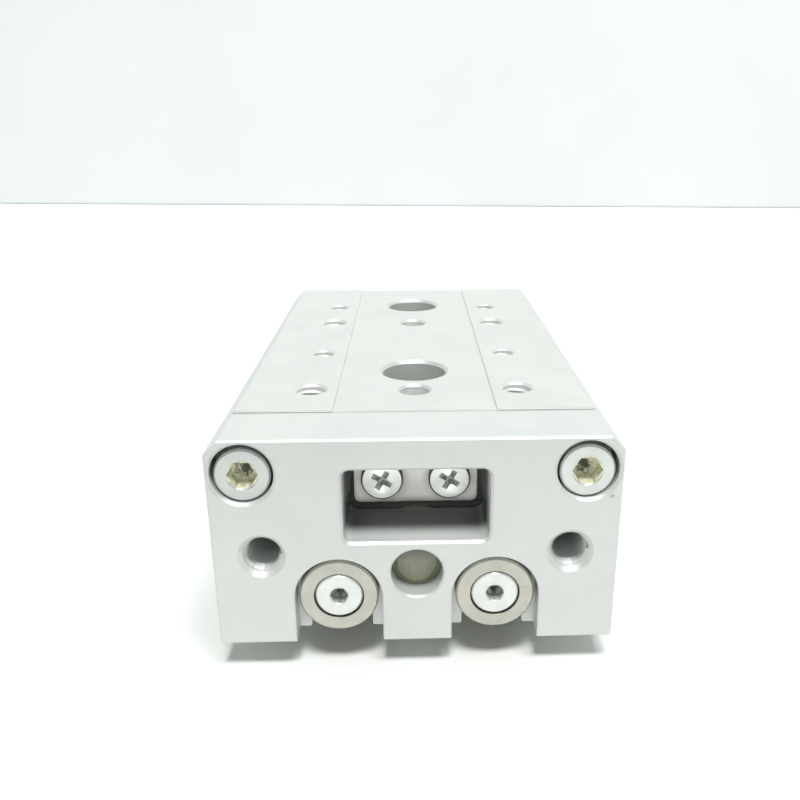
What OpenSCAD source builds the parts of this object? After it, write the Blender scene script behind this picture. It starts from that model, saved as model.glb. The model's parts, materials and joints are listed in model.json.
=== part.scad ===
// Pneumatic slide table: a twin-bore cylinder block that carries a table on
// crossed roller ways. Both piston rods push the end plate of the table.
// X is across the unit, -Y is the way the table moves out, +Z is up.
// The origin is at the bottom centre of the closed unit.

/* [Body] */
// Width of the body and the table
unit_w = 62; // [61:0.5:66]
// Height of the cylinder body
body_h = 22.4; // [22.2:0.2:24]
// Travel of the table
stroke = 40; // [30:5:50]
// Diameter of the two cylinder bores
bore_d = 16; // [15.6:0.1:16.2]
// Distance between the two bore axes
bore_pitch = 24.6; // [24.2:0.1:25]
// Height of the bore axes above the mounting face
bore_z = 12.9; // [12.6:0.1:13.2]
// Small chamfer along the outer edges
edge_ease = 0.5; // [0.2:0.1:0.8]

/* [Body holes] */
// Diameter of the two mounting holes through the body
bolt_hole_d = 5.5; // [5.2:0.1:6]
// Mounting hole to the body's front face
bolt_front_inset = 19.5; // [19:0.5:21]
// Mounting hole to the body's rear face
bolt_rear_inset = 18.5; // [17.5:0.5:21]
// Thread of the four tapped holes in the mounting face
foot_tap_d = 5; // [4:1:5]
// Depth of the four tapped holes in the mounting face
foot_tap_depth = 7; // [5:0.5:8]
// Distance between the tapped holes across the unit
foot_tap_w = 44.8; // [43.6:0.2:45.2]
// Tapped hole to the nearest end of the body
foot_tap_inset = 14; // [12:1:18]
// Diameter of the locating pin hole in the mounting face
pin_d = 4; // [3:0.5:4]
// Thread of the air ports
port_d = 5; // [4:0.5:5]
// Length of thread in an air port
port_depth = 5; // [4:0.5:6]
// Height of the air ports above the mounting face
port_z = 16.6; // [16:0.1:17]
// Diameter of the air passage that joins the two bores
passage_d = 3; // [2:0.5:3]
// Height of the switch grooves above the mounting face
groove_z = 7.6; // [7.2:0.2:8]
// Diameter of the round bottom of a switch groove
groove_d = 4.2; // [3.8:0.2:4.4]
// Width of the mouth of a switch groove
groove_mouth = 3; // [2.4:0.2:3.4]

/* [Table] */
// Height of the table
table_h = 17; // [16.6:0.2:20]
// Gap between the body and the table
table_gap = 0.6; // [0.4:0.1:0.8]
// Chamfer along the table's and the plate's upper edges
top_chamfer = 2.1; // [1.5:0.1:2.4]
// Height of the two work pads above the middle of the table
pad_rise = 0.2; // [0.1:0.1:0.4]
// Half width of the sunk band between the work pads
band_half = 13.2; // [12.6:0.2:14]
// Thread of the four work holes
work_tap_d = 5; // [4:1:5]
// Depth of the work holes
work_tap_depth = 5.5; // [5:0.5:6]
// Distance between the work holes across the unit
work_tap_w = 35.4; // [34.8:0.2:36.4]
// Distance between the work holes along the table
work_tap_pitch = 46; // [44:0.5:48]
// First work hole to the table's front end
work_tap_inset = 10.6; // [10.4:0.1:11]
// Thread of the four small holes beside the work holes
small_tap_d = 4; // [3:0.5:4]
// Depth of the small holes
small_tap_depth = 5; // [4:0.5:5.5]
// First small hole to the table's front end
small_tap_inset = 32; // [31.4:0.2:32.6]
// Last small hole to the table's rear end
small_tap_rear_inset = 20.7; // [20.2:0.1:21.4]
// Diameter of the access holes over the mounting bolts
access_d = 11.6; // [11.2:0.1:12]
// Diameter of the access holes over the guide screws
key_hole_d = 5.1; // [4.6:0.1:5.4]

/* [End plate] */
// Thickness of the end plate
plate_t = 11.4; // [11:0.2:13]
// Height of the end plate
plate_h = 34.9; // [34:0.1:35.4]
// How far the end plate stands out past the table on each side
plate_proud = 0.25; // [0:0.05:0.4]
// Gap between the end plate and the body when closed
front_gap = 2.1; // [2.1:0.1:2.6]
// Width of the window
window_w = 22.4; // [21.6:0.2:22.8]
// Height of the window
window_h = 12; // [11.6:0.2:12.6]
// Radius in the window's corners
window_r = 1.3; // [0.8:0.1:2]
// Window's lower edge above the mounting face
window_z = 22.7; // [22.5:0.1:22.9]
// Plate screw to the plate's nearest side
plate_screw_inset = 5.4; // [5.3:0.05:5.7]
// Plate screw below the plate's upper edge
plate_screw_drop = 5.5; // [5.2:0.1:5.8]
// Distance between the two tapped holes in the plate's face
face_tap_w = 47.5; // [46:0.1:48]
// Height of those tapped holes above the mounting face
face_tap_z = 20.6; // [20.2:0.1:21.4]
// Thread of the tapped holes in the plate's face
face_tap_d = 6; // [5:0.5:6]
// Depth of the wide part of the rod slots
slot_step = 4.4; // [4:0.1:4.7]
// Bumper above the mounting face
bumper_z = 17.1; // [16.9:0.1:17.3]
// Diameter of the bumper's stem, which plugs into the plate
bumper_stem_d = 8.2; // [7.8:0.1:8.6]

/* [Guide] */
// Width of the guide block
guide_w = 20.6; // [20.2:0.2:21]
// Height of the guide block
guide_h = 9.4; // [9:0.1:9.6]
// Gap between the guide block and each rail
way_gap = 1; // [0.9:0.1:1.2]
// Width of a rail
rail_w = 8; // [7.8:0.1:8.4]
// Diameter of a roller
roller_d = 3; // [2.6:0.1:3.1]
// Distance between two rollers
roller_pitch = 4.2; // [4.1:0.1:5]
// Thickness of a roller cage
cage_t = 0.6; // [0.4:0.1:0.6]

/* [Cylinder] */
// Diameter of the piston rods
rod_d = 6; // [5:0.5:6]
// Length of a piston
piston_len = 20; // [18:0.5:24]
// Length of a rod gland
gland_len = 15; // [14:0.5:17]
// Length of a head cap
cap_len = 9.5; // [9:0.5:12]
// Depth of a gland or cap behind the body's end face
clip_inset = 2.1; // [1.9:0.1:2.5]
// Thickness of the bumper ring on a gland
stop_ring_t = 1.6; // [1.2:0.1:2]
// Outer diameter of a floating bush
bush_d = 12.5; // [12.1:0.1:12.7]
// Diameter of a bush's neck in the plate's slot
bush_neck_d = 9.4; // [9:0.1:9.6]

/* [Hidden] */
$fn = 64;

// Clearances
fit_gap = 0.05;      // between a turned piece and its seat, on the radius
thread_gap = 0.05;   // between a screw's thread and its hole, on the radius
end_gap = 0.1;       // between a piston and its stop, at each end of the travel
bumper_gap = 0.1;    // between the closed plate's bumper and the body
seat_gap = 0.1;      // between a floating bush and the plate
over = 1;            // how far a cut reaches past the face that it opens

// Lengths, measured backwards from the plate's front face
table_front = plate_t;
body_front = plate_t + front_gap;
body_len = 2 * clip_inset + gland_len + stop_ring_t + 2 * end_gap + stroke + piston_len + cap_len;
body_rear = body_front + body_len;
table_rear_setback = 0.6;
rear_corner = 1.5;    // the table's rear corners are cut off this far
table_rear = body_rear - table_rear_setback;
table_len = table_rear - table_front;
front_y = -body_rear / 2;
plate_w = unit_w + 2 * plate_proud;
plate_screw_x = plate_w / 2 - plate_screw_inset;

// Heights
table_z = body_h + table_gap;
top_z = table_z + table_h;
plate_top = top_z - pad_rise;
plate_bottom = plate_top - plate_h;
channel_clear = 0.6; // above the guide block
channel_z = body_h + guide_h + channel_clear;

// Guide
stop_plate_t = 1.6;
stop_screw_head = 1.3;
guide_front_inset = 1.5;
guide_rear_inset = 3.5;
guide_front = body_front + guide_front_inset;
guide_rear = body_rear - guide_rear_inset;
rail_end_inset = 3;
rail_front = table_front + rail_end_inset;
rail_rear = table_rear - rail_end_inset;
rail_under = 1;      // clearance below a rail
rail_x = guide_w / 2 + way_gap;
preload_gap = 0.3;   // behind the rail that the preload screws push
way_x = guide_w / 2 + way_gap / 2;
way_z = body_h + guide_h / 2;
way_side = roller_d + 2 * fit_gap;
cage_end_gap = 1;
cage_front = guide_front + stroke / 2 + cage_end_gap;
cage_rear = rail_rear - stroke / 2 - cage_end_gap;
cage_len = cage_rear - cage_front;
cage_h = 5.6;
cage_margin = 2;
roller_count = floor((cage_len - 2 * cage_margin) / roller_pitch) + 1;

// Hole rows
bolt_rows = [body_front + bolt_front_inset, body_rear - bolt_rear_inset];
work_rows = [table_front + work_tap_inset, table_front + work_tap_inset + work_tap_pitch];
small_rows = [table_front + small_tap_inset, table_rear - small_tap_rear_inset];
guide_tap_depth = 8;
guide_screw_rows = [work_rows[0], (work_rows[0] + work_rows[1]) / 2, work_rows[1]];
locating_pitch = 12;  // from the locating pin hole to its slot
foot_rows = [body_front + foot_tap_inset, body_rear - foot_tap_inset];
work_mid = (work_rows[0] + work_rows[1]) / 2;
// Width of the eased mouths of the table's holes
work_mouth = 0.4;
small_mouth = 0.3;
access_mouth = 0.55;
key_mouth = 0.45;
rail_screw_rows = [
    work_rows[0] + 9.4,
    small_rows[0] + 12.2,
    work_rows[1] + 7.4,
    small_rows[1] + 11
];
preload_inset = 14;
preload_sink = 4.2;   // preload screws below the table's side
preload_rows = [for (i = [0:3]) table_front + preload_inset + i * (table_len - 2 * preload_inset) / 3];

// Cylinder, measured backwards from the plate's front face
gland_front = body_front + clip_inset;
gland_nose_len = 6.5;
gland_rear = gland_front + gland_len;
gland_seat = gland_rear - gland_nose_len;
ring_groove_w = 2;
ring_groove_d = 1.3;
ring_d = 1.3;         // thickness of an O-ring, squeezed
gland_ring_front = gland_front + 3.6;
cap_rear = body_rear - clip_inset;
cap_front = cap_rear - cap_len;
cap_nose_len = 4.5;
cap_seat = cap_front + cap_nose_len;
cap_ring_front = cap_seat + 1.4;
seat_r = bore_d / 2 + 0.25;  // the bore is a little wider where a gland or a cap sits
clip_groove_r = seat_r + 0.4;
clip_groove_w = 1.1;
piston_rear = cap_front - end_gap;
piston_front = piston_rear - piston_len;
port_rows = [gland_rear - gland_nose_len / 2 + 0.15, cap_front + cap_nose_len / 2];
rod_x = bore_pitch / 2;
rod_tail = 8;         // how far the rod reaches into the piston

// Easing of the end plate's outer edges and of its window
plate_ease = 0.3;
window_ease = 0.4;
joint_line = 0.12;

// Rod joint
bush_front = 0.7;
bush_rim_t = slot_step - bush_front - seat_gap;
slot_w = bush_d + 1.2;
slot_ease = 0.2;
slot_neck_w = bush_neck_d + 0.6;
washer_t = 1.4;
washer_front = plate_t + seat_gap;
rod_front = washer_front + washer_t;
rod_screw_head_d = 7.4;
rod_screw_head_t = 2.2;

// Screws: thread, head diameter, head height, hexagon across flats
M3 = [3, 5.5, 3, 2.5];
M4 = [4, 7, 4, 3];
M5 = [5, 8.5, 5, 4];
plate_screw_sink = 0.7;
plate_screw_hang = 0.35;  // the screws sit this far below the middle of their wide counterbores
plate_screw_play = 1.2;   // clearance hole wider than the thread
plate_tap_depth = 14;
plate_screw_len = 16;

plate_screw_z = plate_top - plate_screw_drop - plate_screw_hang;

function back(d) = front_y + d;

// ---- shared shapes ----

// A bar along Y between two depths
module bar(d0, d1, d) {
    translate([0, back(d0), 0]) rotate([-90, 0, 0]) cylinder(h = d1 - d0, d = d);
}

// A turned piece along Y: each point is [radius, depth]
module turned(points) {
    translate([0, front_y, 0]) rotate([-90, 0, 0]) rotate_extrude() polygon(points);
}

// A block between two depths, standing on z, with all its edges eased
module eased_block(w, d0, d1, z0, z1, c) {
    l = d1 - d0;
    h = z1 - z0;
    translate([0, back((d0 + d1) / 2), (z0 + z1) / 2])
    intersection() {
        rotate([90, 0, 0]) linear_extrude(l, center = true) eased_square(w, h, c);
        rotate([90, 0, 90]) linear_extrude(w, center = true) eased_square(l, h, c);
        linear_extrude(h, center = true) eased_square(w, l, c);
    }
}

module eased_square(w, h, c) {
    polygon([
        [-w / 2 + c, -h / 2], [w / 2 - c, -h / 2], [w / 2, -h / 2 + c], [w / 2, h / 2 - c],
        [w / 2 - c, h / 2], [-w / 2 + c, h / 2], [-w / 2, h / 2 - c], [-w / 2, -h / 2 + c]
    ]);
}

// A square with round corners, from plain squares and circles
module round_square(w, h, r) {
    square([w - 2 * r, h], center = true);
    square([w, h - 2 * r], center = true);
    for (x = [-1, 1], y = [-1, 1]) translate([x * (w / 2 - r), y * (h / 2 - r)]) circle(r);
}

// A hole down the Z axis from z = 0, with an eased mouth
module drilled(d, depth, mouth = 0.3) {
    translate([0, 0, -depth]) cylinder(h = depth + over, d = d);
    translate([0, 0, -mouth]) cylinder(h = mouth, d1 = d, d2 = d + 2 * mouth);
    cylinder(h = over, d = d + 2 * mouth);
}

// A tapped blind hole, with the cone that the drill leaves
module tapped(d, depth, mouth = 0.3) {
    drilled(d, depth, mouth);
    translate([0, 0, -depth - d / 4]) cylinder(h = d / 4, d1 = 0.4, d2 = d);
}

// A socket for a hexagon key, from z = 0 down
module hex_socket(af, depth) {
    translate([0, 0, -depth]) cylinder(h = depth + over, d = af / cos(30), $fn = 6);
    translate([0, 0, -depth - af / 5]) cylinder(h = af / 5, d1 = 0.3, d2 = af * 0.9);
    translate([0, 0, -0.15]) cylinder(h = 0.16, d1 = af / cos(30) - 0.15, d2 = af / cos(30) + 0.2);
}

// A socket head cap screw: its head's top is at z = 0 and its thread runs down
module cap_screw(m, len) {
    ease = 0.3;
    difference() {
        union() {
            translate([0, 0, -ease]) cylinder(h = ease, d1 = m[1], d2 = m[1] - 2 * ease);
            translate([0, 0, -m[2]]) cylinder(h = m[2] - ease, d = m[1]);
            translate([0, 0, -m[2] - len]) cylinder(h = len, d = m[0] - 2 * thread_gap);
        }
        hex_socket(m[3], m[2] * 0.55);
    }
}

// Points a piece that was modelled with its mouth up at +Z out of the front or rear
module face_front(d, z) { translate([0, back(d), z]) rotate([90, 0, 0]) children(); }
module face_rear(d, z) { translate([0, back(d), z]) rotate([-90, 0, 0]) children(); }
module on_rod(side) { translate([side * rod_x, 0, bore_z]) children(); }

// ---- body ----

module body() {
    color("Gainsboro")
    difference() {
        eased_block(unit_w, body_front, body_rear, 0, body_h, edge_ease);
        for (side = [-1, 1]) on_rod(side) bore_cut();
        for (side = [-1, 1]) switch_groove(side);
        for (d = port_rows) port_cut(d);
        for (d = bolt_rows) translate([0, back(d), body_h]) drilled(bolt_hole_d, body_h + over);
        for (d = bolt_rows) translate([0, back(d), 0]) mirror([0, 0, 1]) drilled(bolt_hole_d, over);
        for (d = guide_screw_rows) translate([0, back(d), body_h]) tapped(M4[0], guide_tap_depth);
        for (d = foot_rows, side = [-1, 1])
            translate([side * foot_tap_w / 2, back(d), 0]) mirror([0, 0, 1])
                tapped(foot_tap_d, foot_tap_depth, 0.4);
        locating_cuts();
    }
}

// One cylinder bore with the grooves of its two clips
module bore_cut() {
    ease = 0.4;
    turned([
        [0, body_front - over], [seat_r + ease, body_front - over], [seat_r + ease, body_front],
        [seat_r, body_front + ease], [seat_r, gland_front - clip_groove_w],
        [clip_groove_r, gland_front - clip_groove_w], [clip_groove_r, gland_front],
        [seat_r, gland_front], [seat_r, gland_seat], [bore_d / 2, gland_seat],
        [bore_d / 2, cap_seat], [seat_r, cap_seat], [seat_r, cap_rear],
        [clip_groove_r, cap_rear], [clip_groove_r, cap_rear + clip_groove_w],
        [seat_r, cap_rear + clip_groove_w], [seat_r, body_rear - ease], [seat_r + ease, body_rear],
        [seat_r + ease, body_rear + over], [0, body_rear + over]
    ]);
}

module switch_groove(side) {
    depth = 3;
    translate([side * (unit_w / 2 - depth), back(body_front) - over, groove_z])
    rotate([-90, 0, 0]) linear_extrude(body_len + 2 * over) {
        circle(d = groove_d);
        translate([side * (depth + over) / 2, 0]) square([depth + over, groove_mouth], center = true);
    }
}

module port_cut(d) {
    for (side = [-1, 1])
        translate([side * unit_w / 2, back(d), port_z]) rotate([0, side * 90, 0])
            drilled(port_d, port_depth, 0.4);
    translate([-unit_w / 2, back(d), port_z]) rotate([0, 90, 0]) cylinder(h = unit_w, d = passage_d);
}

// A pin hole and a slot in the mounting face
module locating_cuts() {
    middle = back((body_front + body_rear) / 2);
    depth = 4;
    translate([0, middle, 0]) mirror([0, 0, 1]) drilled(pin_d, depth, 0.2);
    translate([0, middle + locating_pitch, 0]) {
        for (y = [-0.5, 0.5]) translate([0, y, 0]) mirror([0, 0, 1]) drilled(pin_d, depth, 0.2);
        translate([-pin_d / 2, -0.5, -over]) cube([pin_d, 1, depth + over]);
    }
}

// Plugs in the two ports of the left side
module port_plugs() {
    color("Silver")
    for (d = port_rows)
        translate([-unit_w / 2 + 0.4, back(d), port_z]) rotate([0, -90, 0])
        difference() {
            translate([0, 0, -port_depth + 0.9]) cylinder(h = port_depth - 0.9, d = port_d - 2 * thread_gap);
            hex_socket(port_d / 2, 2);
        }
}

// ---- guide ----

module guide_block() {
    color("DarkGray")
    difference() {
        translate([0, 0, body_h]) ground_bar(guide_w, guide_front, guide_rear, guide_h, 0.6);
        for (side = [-1, 1]) translate([side * way_x, 0, way_z]) vee(guide_front, guide_rear);
        for (d = bolt_rows) translate([0, back(d), body_h + guide_h]) drilled(access_d - 0.4, guide_h + over);
        for (d = guide_screw_rows) translate([0, back(d), body_h + guide_h]) {
            drilled(M4[1] + 0.4, M4[2] + 0.4);
            drilled(M4[0] + 0.5, guide_h + over);
        }
        for (s = stop_screw_places()) stop_tap(s);
    }
}

// A ground bar that stands on z = 0, with its long edges eased
module ground_bar(w, d0, d1, h, c) {
    translate([0, back(d0), h / 2]) rotate([-90, 0, 0]) linear_extrude(d1 - d0) eased_square(w, h, c);
}

// The square space, standing on its edge, that a row of rollers runs in
module vee(d0, d1) {
    translate([0, back((d0 + d1) / 2), 0]) rotate([0, 45, 0])
        cube([way_side, d1 - d0 + 2 * over, way_side], center = true);
}

module guide_block_screws() {
    color("Silver")
    for (d = guide_screw_rows)
        translate([0, back(d), body_h + guide_h - 0.4]) cap_screw(M4, guide_h - 0.4 - M4[2] + 6.5);
}

// Screw places on the guide block's ends: [x, depth of the block's end, way it faces]
stop_screw_x = 5.6;
stop_screw_z = way_z + 0.2;
stop_screw_head_d = 7;
function stop_screw_places() =
    [for (end = [-1, 1], side = [-1, 1]) [side * stop_screw_x, end < 0 ? guide_front : guide_rear, end]];

module stop_place(s) {
    translate([s[0], back(s[1]), stop_screw_z]) rotate([s[2] < 0 ? 90 : -90, 0, 0]) children();
}

module stop_tap(s) { stop_place(s) tapped(M3[0], 5, 0.2); }

// The plate that closes the ways at one end of the guide block
module guide_stop(end) {
    d0 = end < 0 ? guide_front - stop_plate_t : guide_rear;
    lift = 0.4;
    color("Silver")
    difference() {
        translate([0, back(d0), body_h + lift + (guide_h - lift) / 2]) rotate([-90, 0, 0])
            linear_extrude(stop_plate_t) round_square(guide_w, guide_h - lift, 1.2);
        for (side = [-1, 1])
            translate([side * stop_screw_x, back(d0) - over, stop_screw_z]) rotate([-90, 0, 0])
                cylinder(h = stop_plate_t + 2 * over, d = M3[0] + 0.4);
    }
}

// Cross-recess screws with flat round heads that hold the stop plates
module guide_stop_screws() {
    turn = 27;
    color("WhiteSmoke")
    for (s = stop_screw_places())
        stop_place(s) translate([0, 0, stop_plate_t]) difference() {
            union() {
                cylinder(h = stop_screw_head - 0.3, d = stop_screw_head_d);
                translate([0, 0, stop_screw_head - 0.3])
                    cylinder(h = 0.3, d1 = stop_screw_head_d, d2 = stop_screw_head_d - 0.5);
                translate([0, 0, -6]) cylinder(h = 6, d = M3[0] - 2 * thread_gap);
            }
            translate([0, 0, stop_screw_head]) rotate([0, 0, turn]) cross_recess();
        }
}

// A cross recess whose four wings narrow to a point
module cross_recess() {
    span = 3.6;
    depth = 1.1;
    wing = 0.85;
    intersection() {
        union() {
            cube([span, wing, 2 * depth], center = true);
            cube([wing, span, 2 * depth], center = true);
            cylinder(h = 2 * depth, d = 1.5, center = true);
        }
        translate([0, 0, -depth]) cylinder(h = depth + 0.1, d1 = 1, d2 = span + 0.2);
    }
}

// ---- cylinder ----

// The gland that guides a rod: a plug with an O-ring groove and a nose
module rod_gland(side) {
    r = seat_r - fit_gap;
    nose_r = 5.5;
    seal_r = 5;
    seal_len = 3.2;
    color("Goldenrod")
    on_rod(side) turned([
        [seal_r, gland_front], [r - 0.4, gland_front], [r, gland_front + 0.4],
        [r, gland_ring_front], [r - ring_groove_d, gland_ring_front],
        [r - ring_groove_d, gland_ring_front + ring_groove_w], [r, gland_ring_front + ring_groove_w],
        [r, gland_seat], [nose_r, gland_seat], [nose_r, gland_rear],
        [rod_d / 2 + fit_gap, gland_rear],
        [rod_d / 2 + fit_gap, gland_front + seal_len], [seal_r, gland_front + seal_len]
    ]);
}

// Lip seal in the gland's front recess
module rod_seal(side) {
    r1 = 5 - 0.02;
    r0 = rod_d / 2 + 0.02;
    d0 = gland_front + 0.2;
    color("DimGray")
    on_rod(side) turned([
        [r0 + 0.4, d0], [r1, d0], [r1, d0 + 2.9], [r1 - 0.5, d0 + 2.9], [(r0 + r1) / 2, d0 + 1.4],
        [r0 + 0.3, d0 + 2.9], [r0, d0 + 2.9], [r0, d0 + 2.4], [r0 + 0.4, d0 + 1.8]
    ]);
}

// An O-ring in the groove of a plug that it seals in its bore
module bore_ring(side, groove_front) {
    color("Black")
    on_rod(side) translate([0, back(groove_front + ring_groove_w / 2), 0]) rotate([-90, 0, 0])
        rotate_extrude() translate([seat_r - ring_d / 2 - 0.02, 0]) circle(d = ring_d, $fn = 32);
}

// An internal spring clip with two eyes
module bore_clip(side, d0) {
    eye_d = 3;
    outer = 2 * clip_groove_r - 0.1;
    inner = 2 * seat_r - 2.9;
    color("DarkSlateGray")
    on_rod(side) translate([0, back(d0), 0]) rotate([-90, 0, 0]) linear_extrude(1)
        difference() {
            union() {
                difference() {
                    circle(d = outer);
                    circle(d = inner);
                    translate([0, -outer / 2 - over]) square([6, outer], center = true);
                    translate([-3, -outer]) square([6, outer]);
                }
                for (x = [-1, 1]) translate([x * 3.6, -inner / 2 + 0.7]) circle(d = eye_d, $fn = 32);
            }
            for (x = [-1, 1]) translate([x * 3.6, -inner / 2 + 0.9]) circle(d = 1.4, $fn = 24);
        }
}

// Soft ring on the gland that the piston meets at full travel
module stop_ring(side) {
    color("DarkKhaki")
    on_rod(side) turned([
        [4, gland_rear], [6.4, gland_rear], [6.4, gland_rear + stop_ring_t - 0.3],
        [6.1, gland_rear + stop_ring_t], [4, gland_rear + stop_ring_t]
    ]);
}

// The cap that closes the rear of a bore
module head_cap(side) {
    r = seat_r - fit_gap;
    nose_r = 5;
    color("DimGray")
    on_rod(side) turned([
        [0, cap_front], [nose_r - 0.5, cap_front], [nose_r, cap_front + 0.5], [nose_r, cap_seat],
        [r, cap_seat], [r, cap_ring_front], [r - ring_groove_d, cap_ring_front],
        [r - ring_groove_d, cap_ring_front + ring_groove_w], [r, cap_ring_front + ring_groove_w],
        [r, cap_rear], [3.5, cap_rear],
        [3.2, cap_rear - 1.2], [0, cap_rear - 1.2]
    ]);
}

// The piston rod, tapped at both ends
module piston_rod(side) {
    tap_len = 10;
    rod_rear = piston_front + rod_tail;
    color("LightSteelBlue")
    on_rod(side) difference() {
        turned([
            [0, rod_front], [rod_d / 2 - 0.3, rod_front], [rod_d / 2, rod_front + 0.3],
            [rod_d / 2, rod_rear - 0.3], [rod_d / 2 - 0.3, rod_rear], [0, rod_rear]
        ]);
        bar(rod_front - over, rod_front + tap_len, M4[0]);
        bar(rod_rear - tap_len, rod_rear + over, M4[0]);
    }
}

// The piston: grooves for its seal, magnet and wear ring, and a recess for its screw
seal_groove = [3, 6];     // first and last depth of each groove behind the piston's front
magnet_groove = [8.5, 12];
wear_groove = [14.5, 17];
piston_r = bore_d / 2 - 0.1;
groove_r = bore_d / 2 - 2.6;
module piston(side) {
    p = piston_front;
    recess_r = rod_d / 2 + fit_gap;
    head_r = M4[1] / 2 + 0.2;
    head_d0 = piston_rear - M4[2] - 0.2;
    color("Gainsboro")
    on_rod(side) turned(concat(
        [[recess_r, p], [piston_r - 0.4, p], [piston_r, p + 0.4]],
        [for (g = [seal_groove, magnet_groove, wear_groove], corner = [0:3])
            [corner == 0 || corner == 3 ? piston_r : groove_r, p + g[corner < 2 ? 0 : 1]]],
        [
            [piston_r, piston_rear - 0.4], [piston_r - 0.4, piston_rear], [head_r, piston_rear],
            [head_r, head_d0], [M4[0] / 2 + 0.1, head_d0], [M4[0] / 2 + 0.1, p + rod_tail + fit_gap],
            [recess_r, p + rod_tail + fit_gap]
        ]
    ));
}

// A ring in one of the piston's grooves
module piston_groove_ring(side, g, outer) {
    p = piston_front;
    c = 0.1;
    on_rod(side) turned([
        [groove_r + fit_gap, p + g[0] + c], [outer - 0.2, p + g[0] + c], [outer, p + g[0] + c + 0.2],
        [outer, p + g[1] - c - 0.2], [outer - 0.2, p + g[1] - c], [groove_r + fit_gap, p + g[1] - c]
    ]);
}

module piston_seal(side) {
    color("Black") piston_groove_ring(side, seal_groove, bore_d / 2 - 0.03);
}

module piston_magnet(side) {
    color("SlateGray") piston_groove_ring(side, magnet_groove, piston_r - 0.3);
}

module wear_ring(side) {
    color("SaddleBrown") piston_groove_ring(side, wear_groove, bore_d / 2 - 0.04);
}

module piston_screws() {
    color("Silver")
    for (side = [-1, 1])
        translate([side * rod_x, 0, 0]) face_rear(piston_rear - 0.2, bore_z)
            cap_screw(M4, piston_len - M4[2] - 2);
}

// ---- rod joint ----

// Stepped bush that hooks the rod into the plate and lets it float
module floating_bush(side) {
    rim_rear = bush_front + bush_rim_t;
    head_r = rod_screw_head_d / 2 + 0.25;
    head_d0 = bush_front + rod_screw_head_t;
    color("Silver")
    on_rod(side) turned([
        [head_r, bush_front], [bush_d / 2 - 0.3, bush_front], [bush_d / 2, bush_front + 0.3],
        [bush_d / 2, rim_rear], [bush_neck_d / 2, rim_rear], [bush_neck_d / 2, washer_front],
        [M4[0] / 2 + 0.1, washer_front], [M4[0] / 2 + 0.1, head_d0], [head_r, head_d0]
    ]);
}

module thrust_washer(side) {
    color("Silver")
    on_rod(side) turned([
        [M4[0] / 2 + 0.1, washer_front], [bush_d / 2 - 0.2, washer_front], [bush_d / 2, washer_front + 0.2],
        [bush_d / 2, rod_front - 0.2], [bush_d / 2 - 0.2, rod_front], [M4[0] / 2 + 0.1, rod_front]
    ]);
}

// Low-head screws that clamp bush, washer and rod together
module rod_end_screws() {
    ease = 0.25;
    shank = rod_front - bush_front - rod_screw_head_t + 8;
    color("WhiteSmoke")
    for (side = [-1, 1])
        translate([side * rod_x, 0, 0]) face_front(bush_front, bore_z) difference() {
            union() {
                translate([0, 0, -ease])
                    cylinder(h = ease, d1 = rod_screw_head_d, d2 = rod_screw_head_d - 2 * ease);
                translate([0, 0, -rod_screw_head_t])
                    cylinder(h = rod_screw_head_t - ease, d = rod_screw_head_d);
                translate([0, 0, -rod_screw_head_t - shank]) cylinder(h = shank, d = M4[0] - 2 * thread_gap);
            }
            hex_socket(2.5, 1.4);
        }
}

// ---- table ----

module table() {
    color("Gainsboro")
    difference() {
        translate([0, back(table_front), 0]) rotate([90, 0, 0]) mirror([0, 0, 1])
            linear_extrude(table_len) table_profile();
        table_end_eases();
        for (side = [-1, 1]) {
            for (d = work_rows) translate([side * work_tap_w / 2, back(d), top_z])
                tapped(work_tap_d, work_tap_depth, work_mouth);
            for (d = small_rows) translate([side * work_tap_w / 2, back(d), top_z])
                tapped(small_tap_d, small_tap_depth, small_mouth);
            for (d = rail_screw_rows) translate([side * rail_screw_x, back(d), channel_z])
                mirror([0, 0, 1]) tapped(M3[0], 4.5, 0.2);
            translate([side * plate_screw_x, 0, 0]) face_front(table_front, plate_screw_z)
                tapped(M5[0], plate_tap_depth, 0.3);
        }
        for (d = bolt_rows) translate([0, back(d), top_z - pad_rise])
            drilled(access_d, table_h, access_mouth);
        for (d = work_rows) translate([0, back(d), top_z - pad_rise])
            drilled(key_hole_d, table_h, key_mouth);
        for (d = preload_rows) translate([unit_w / 2, back(d), way_z])
            rotate([0, 90, 0]) drilled(M4[0], unit_w / 4, 0.3);
    }
}

// Section of the table: two work pads, a sunk band and the channel for the rails
module table_profile() {
    e = edge_ease;
    w = unit_w / 2;
    c = top_chamfer;
    wall_l = rail_x + rail_w;
    wall_r = wall_l + preload_gap;
    ramp = 3.2;
    dip = 0.12;
    polygon([
        [-w, table_z + e], [-w, plate_top - c], [-w + c + pad_rise, top_z],
        [-band_half, top_z], [-band_half, plate_top - dip], [-band_half + ramp, plate_top],
        [band_half - ramp, plate_top], [band_half, plate_top - dip], [band_half, top_z],
        [w - c - pad_rise, top_z], [w, plate_top - c], [w, table_z + e], [w - e, table_z],
        [wall_r + e, table_z], [wall_r, table_z + e], [wall_r, channel_z],
        [-wall_l, channel_z], [-wall_l, table_z + e], [-wall_l - e, table_z], [-w + e, table_z]
    ]);
}

// Small chamfers where the top meets the table's two ends, and the cut rear corners
module table_end_eases() {
    c = edge_ease * 0.6;
    for (end = [[table_front, edge_ease * 0.2], [table_rear, c]])
        translate([0, back(end[0]), top_z]) rotate([45, 0, 0])
            cube([unit_w + 2 * over, end[1] * sqrt(2), end[1] * sqrt(2)], center = true);
    translate([0, back(table_rear), plate_top]) rotate([45, 0, 0])
        cube([2 * band_half, c * sqrt(2), c * sqrt(2)], center = true);
    for (x = [-unit_w / 2, unit_w / 2])
        translate([x, back(table_rear), table_z + table_h / 2]) rotate([0, 0, 45])
            cube([rear_corner * sqrt(2), rear_corner * sqrt(2), table_h + 2 * over], center = true);
}

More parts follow.
